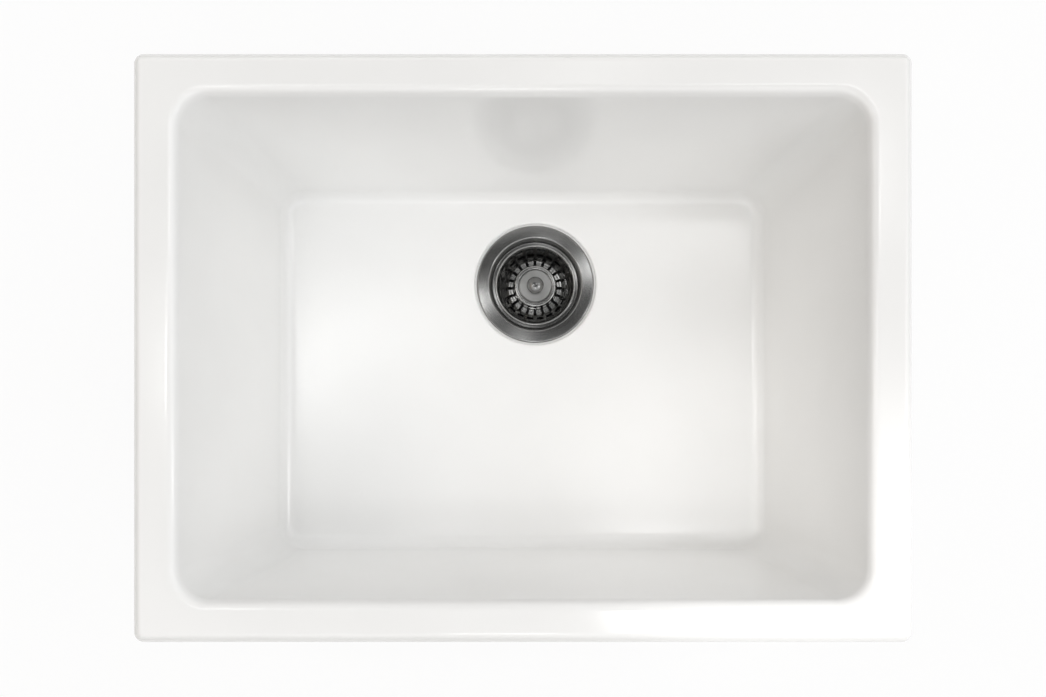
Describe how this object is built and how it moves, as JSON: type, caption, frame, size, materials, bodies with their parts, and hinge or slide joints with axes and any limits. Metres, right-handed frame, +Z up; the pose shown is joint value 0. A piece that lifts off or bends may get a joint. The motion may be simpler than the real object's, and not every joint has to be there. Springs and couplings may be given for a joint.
{
  "type": "undermount kitchen sink",
  "caption": "White glazed fireclay undermount kitchen sink, one deep rectangular bowl with a stainless basket strainer set in its floor near the back.",
  "frame": {"origin": "centre of the rim's flat top face, which meets the underside of the worktop", "axes": "+X along the sink to the user's right, +Y to the back where the tap stands, +Z up out of the bowl"},
  "size_m": [0.595, 0.45, 0.2661],
  "materials": {
    "glazed_fireclay": "gloss",
    "brushed_stainless": "satin",
    "bright_stainless": "polished",
    "cast_brass": "satin",
    "black_rubber": "matte",
    "grey_foam": "matte",
    "fibre_board": "matte",
    "white_nylon": "satin"
  },
  "bodies": {
    "sink": {"basin": "glazed_fireclay", "strainer_body": "brushed_stainless", "flange_seal": "grey_foam", "under_gasket": "black_rubber", "friction_ring": "fibre_board", "locknut": "cast_brass", "outlet_spud": "cast_brass", "outlet_cross": "brushed_stainless"},
    "basket": {"basket_cup": "bright_stainless", "stem_guide": "white_nylon", "detent_ring": "bright_stainless"},
    "plunger": {"hub_cap": "bright_stainless", "knob": "bright_stainless", "stem": "bright_stainless", "stopper_plate": "bright_stainless", "stopper": "black_rubber", "stopper_washer": "bright_stainless", "stem_nut": "cast_brass"}
  },
  "joints": [
    {"name": "basket_lift", "type": "slide", "parent": "sink", "child": "basket", "axis": [0, 0, 1], "range_m": [0, 0.27]},
    {"name": "stopper_pull", "type": "slide", "parent": "basket", "child": "plunger", "axis": [0, 0, 1], "range_m": [0, 0.01]}
  ]
}
